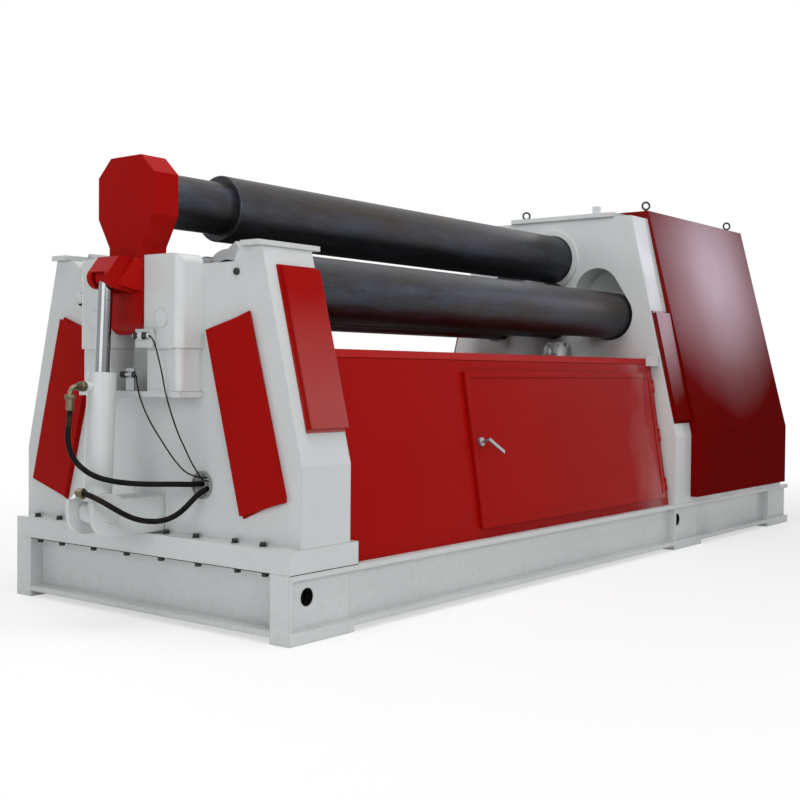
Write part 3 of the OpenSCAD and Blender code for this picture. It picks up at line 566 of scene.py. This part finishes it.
# hexagons on the fittings: at the upper port, and at the two hoses' ends
fitting = {"across": 0.046, "tall": 0.020, "washer": 0.019}
upperEnd = Vector(upperHose["route"][0]) + Vector((dropEnd, 0, 0))
lowerEnd = Vector(lowerHose["route"][0]) + Vector((dropEnd, 0, 0))
spots = [(upperEnd + Vector((0.081, 0, 0.110)), (0, -math.pi / 2, 0)),
         (upperEnd + Vector((0, 0, 0.050)), (0, 0, 0.2)),
         (lowerEnd + Vector((0, 0.022, 0)), (math.pi / 2, 0, 0.2))]
wear(repeated("fittingNuts", hexHead("fittingNut", fitting), spots), "fitting_brass", "cylinder")

ring("rodEyeSleeve", (rodEye["x"], 0, rodEye["z"]), alongY, rodEye, "machine_red", "rod")


def lockNuts(name, sensor):
    # nuts along the sensor's thread, each facing the side given with its y
    spots = [((sensor["x"], y, sensor["z"]), (side * math.pi / 2, 0, 0.4)) for y, side in sensor["nuts"]]
    wear(repeated(name, hexHead("lockNut", sensor), spots), "dark_steel", "frame")


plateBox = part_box("sensor_plate")
plateSensor = {"x": plateBox[0].x + 0.012, "z": plateBox[1].z - 0.032, "across": 0.031, "tall": 0.008,
               "washer": 0.018, "nuts": ((-0.118, -1), (-0.124, 1), (-0.166, 1))}
sleeve = {"y": -0.190, "radius": 0.0135, "tall": 0.026}
limitSensor = {"x": dropEnd - 0.068, "z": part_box("limit_sensor")[1].z - 0.030, "across": 0.028, "tall": 0.008,
               "washer": 0.016, "nuts": ((0.031, -1), (0.044, -1), (-0.031, 1))}
lockNuts("sensorNuts", plateSensor)
ring("sensorSleeve", (plateSensor["x"], sleeve["y"], plateSensor["z"]), alongY, sleeve, "dark_steel", "frame")
lockNuts("limitNuts", limitSensor)

# on the stand's face: a white plug on a black disc that paints the shade of the hole round it, and a small dark
# plug
standHole = {"out": 0.0005, "y": 0.548, "z": 1.570, "radius": 0.034, "tall": 0.003}
standHolePlug = {"out": 0.002, "y": 0.557, "z": 1.576, "radius": 0.029, "tall": 0.004}
standPlug = {"out": 0.004, "y": -0.593, "z": 1.662, "radius": 0.017, "tall": 0.014}


def onStand(name, disc, slot, look=None):
    ring(name, (stand[0].x - disc["out"], disc["y"], disc["z"]), alongX, disc, slot, "frame", look)


# painted shade of the hole round the plug
onStand("standHole", standHole, "dark_steel", shadeAndJointBlack)
onStand("standHolePlug", standHolePlug, "machine_white")
onStand("standPlug", standPlug, "dark_steel")

# bolts round the flange of the grey cylinder
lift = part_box("lift_cylinder")
flange = {"x": lift[1].x - 0.100, "y": -0.125, "z": lift[1].z - 0.030, "radius": 0.085, "count": 6,
          "start": 30, "across": 0.022, "tall": 0.014, "washer": 0.014}
spots = []
for i in range(flange["count"]):
    turn = math.radians(flange["start"] + 360 / flange["count"] * i)
    x = flange["x"] + flange["radius"] * math.cos(turn)
    y = flange["y"] + flange["radius"] * math.sin(turn)
    spots.append(((x, y, flange["z"]), (0, 0, turn)))
wear(repeated("flangeBolts", hexHead("flangeBolt", flange), spots), "machined_steel", "frame")


def boreShade(name, place, radius, depth):
    # painted shade: a black lining and bottom in a blind hole that runs along Y
    tube = added(bpy.ops.mesh.primitive_cylinder_add, vertices=48, radius=radius, depth=depth, location=place,
                 rotation=alongY, end_fill_type="NOTHING")
    inward = -math.copysign(depth / 2, place[1])
    bottom = added(bpy.ops.mesh.primitive_circle_add, vertices=48, radius=radius, fill_type="NGON",
                   location=(place[0], place[1] + inward, place[2]), rotation=alongY)
    wear(joined(name, [tube, bottom]), "dark_steel", "frame", shadeAndJointBlack)


bore = {"radius": 0.0415, "depth": 0.056, "z": 0.64 * boxes[1].z, "y": half - 0.033,
        "x": {"Drop": dropEnd + 0.145, "Middle": rails[0].x + 3.518}}
# the boxes' holes, each lined with painted shade
for side, sideName in ((-1, "front"), (1, "rear")):
    for box, x in bore["x"].items():
        place = (x, side * (bore["y"] - bore["depth"] / 2), bore["z"])
        boreShade(sideName + box + "Bore", place, bore["radius"], bore["depth"])

# a lug on the drive stand's face, beside the cabinet's top
lug = {"out": 0.060, "wide": 0.070, "tall": 0.070, "y": -0.835, "z": 1.300}
cornerLug = added(bpy.ops.mesh.primitive_cube_add, size=1, scale=(lug["out"], lug["wide"], lug["tall"]),
                  location=(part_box("drive_end_stand")[0].x - lug["out"] / 2, lug["y"], lug["z"]))
cornerLug.name = "cornerLug"
wear(cornerLug, "machine_white", "frame")
print("fittings and sensors set")

studio = {"sky": (0.86, 0.88, 0.92, 1), "skyLevel": 0.28, "floorSize": 120, "floorDrop": 0.001,
          "floorWhite": 0.58, "fadeFrom": 3.6, "fadeTo": 8.0}


def whiteFloor():
    # keeps the machine's shadow near it and turns plain white further out
    m = Mat("paleFloor", Roughness=0.9, Specular_IOR_Level=0.0)
    m.set(Base_Color=m.mix(m.noise(2.0), (0.92, 0.92, 0.92, 1), (0.95, 0.95, 0.95, 1)))
    flat = m.add("ShaderNodeVectorMath", {"operation": "LENGTH"}, Vector=m.scaled(1, 1.35, 0))
    fade = m.ramp(Sock(m, flat.outputs["Value"]), studio["fadeFrom"], studio["fadeTo"])
    path = m.add("ShaderNodeLightPath")
    seen = Sock(m, path.outputs["Is Camera Ray"]).math("MAXIMUM", Sock(m, path.outputs["Is Glossy Ray"]))
    seen = seen.math("MAXIMUM", Sock(m, path.outputs["Is Transmission Ray"]))
    amount = seen * (studio["floorWhite"] + fade * (1 - studio["floorWhite"]))
    glow = m.add("ShaderNodeEmission", Color=(1, 1, 1, 1), Strength=1.0)
    both = m.add("ShaderNodeMixShader", None, Fac=amount)
    m.tree.links.new(m.shader.outputs[0], both.inputs[1])
    m.tree.links.new(glow.outputs[0], both.inputs[2])
    m.tree.links.new(both.outputs[0], m.tree.nodes["Material Output"].inputs["Surface"])
    return m.mat


floor = added(bpy.ops.mesh.primitive_plane_add, size=studio["floorSize"],
              location=(0, 0, -studio["floorDrop"]))
floor.name = "floor"
floor.data.materials.append(whiteFloor())

world = bpy.data.worlds.new("studio")
bpy.context.scene.world = world
world.use_nodes = True
tree = world.node_tree              # its own pale sky lights the machine, and the camera sees plain white
back = tree.nodes["Background"]
back.inputs["Color"].default_value = studio["sky"]
back.inputs["Strength"].default_value = studio["skyLevel"]
plain = tree.nodes.new("ShaderNodeBackground")
plain.inputs["Color"].default_value = (1, 1, 1, 1)
plain.inputs["Strength"].default_value = 1.0
blend = tree.nodes.new("ShaderNodeMixShader")
path = tree.nodes.new("ShaderNodeLightPath")
seen = path.outputs["Is Camera Ray"]
for ray in ("Is Glossy Ray", "Is Transmission Ray"):
    either = tree.nodes.new("ShaderNodeMath")
    either.operation = "MAXIMUM"
    tree.links.new(seen, either.inputs[0])
    tree.links.new(path.outputs[ray], either.inputs[1])
    seen = either.outputs[0]
tree.links.new(seen, blend.inputs["Fac"])
tree.links.new(back.outputs[0], blend.inputs[1])
tree.links.new(plain.outputs[0], blend.inputs[2])
tree.links.new(blend.outputs[0], tree.nodes["World Output"].inputs["Surface"])


def softLamp(name, place, aim, size, power, gleam=None):
    data = bpy.data.lights.new(name, "AREA")
    data.shape = "RECTANGLE"
    data.size, data.size_y = size
    data.energy = power
    o = bpy.data.objects.new(name, data)
    bpy.context.scene.collection.objects.link(o)
    o.location = place
    o.rotation_euler = (Vector(aim) - Vector(place)).to_track_quat("-Z", "Y").to_euler()
    if gleam:                       # shows in reflections only
        data.color = gleam
        o.visible_diffuse = False


softLamp("overhead", (-2.2, -1.5, 7.0), (-1.0, 0, 0.5), (7, 3), 300)
softLamp("frontLamp", (-5.0, -7.6, 4.0), (-2.2, 0, 1.0), (4, 3), 200)
softLamp("endLamp", (-7.4, -0.8, 2.4), (-2.5, 0, 1.0), (3, 2.4), 48)
softLamp("backLamp", (-0.5, 8.5, 5.0), (0, 0, 1.0), (7, 3), 300)
softLamp("driveLamp", (8.5, 1.0, 4.6), (3.0, 0, 1.0), (3, 3), 90)
softLamp("coverLamp", (9.4, -3.4, 4.0), (2.0, -0.8, 1.9), (2.8, 2.4), 66, (0.86, 0.80, 1.0))
softLamp("standingLamp", (-8.4, -3.4, 2.0), (-2.9, 0, 1.4), (0.5, 3.5), 26, (1, 1, 1))
bpy.context.scene.view_settings.view_transform = "Standard"
print("stage set")
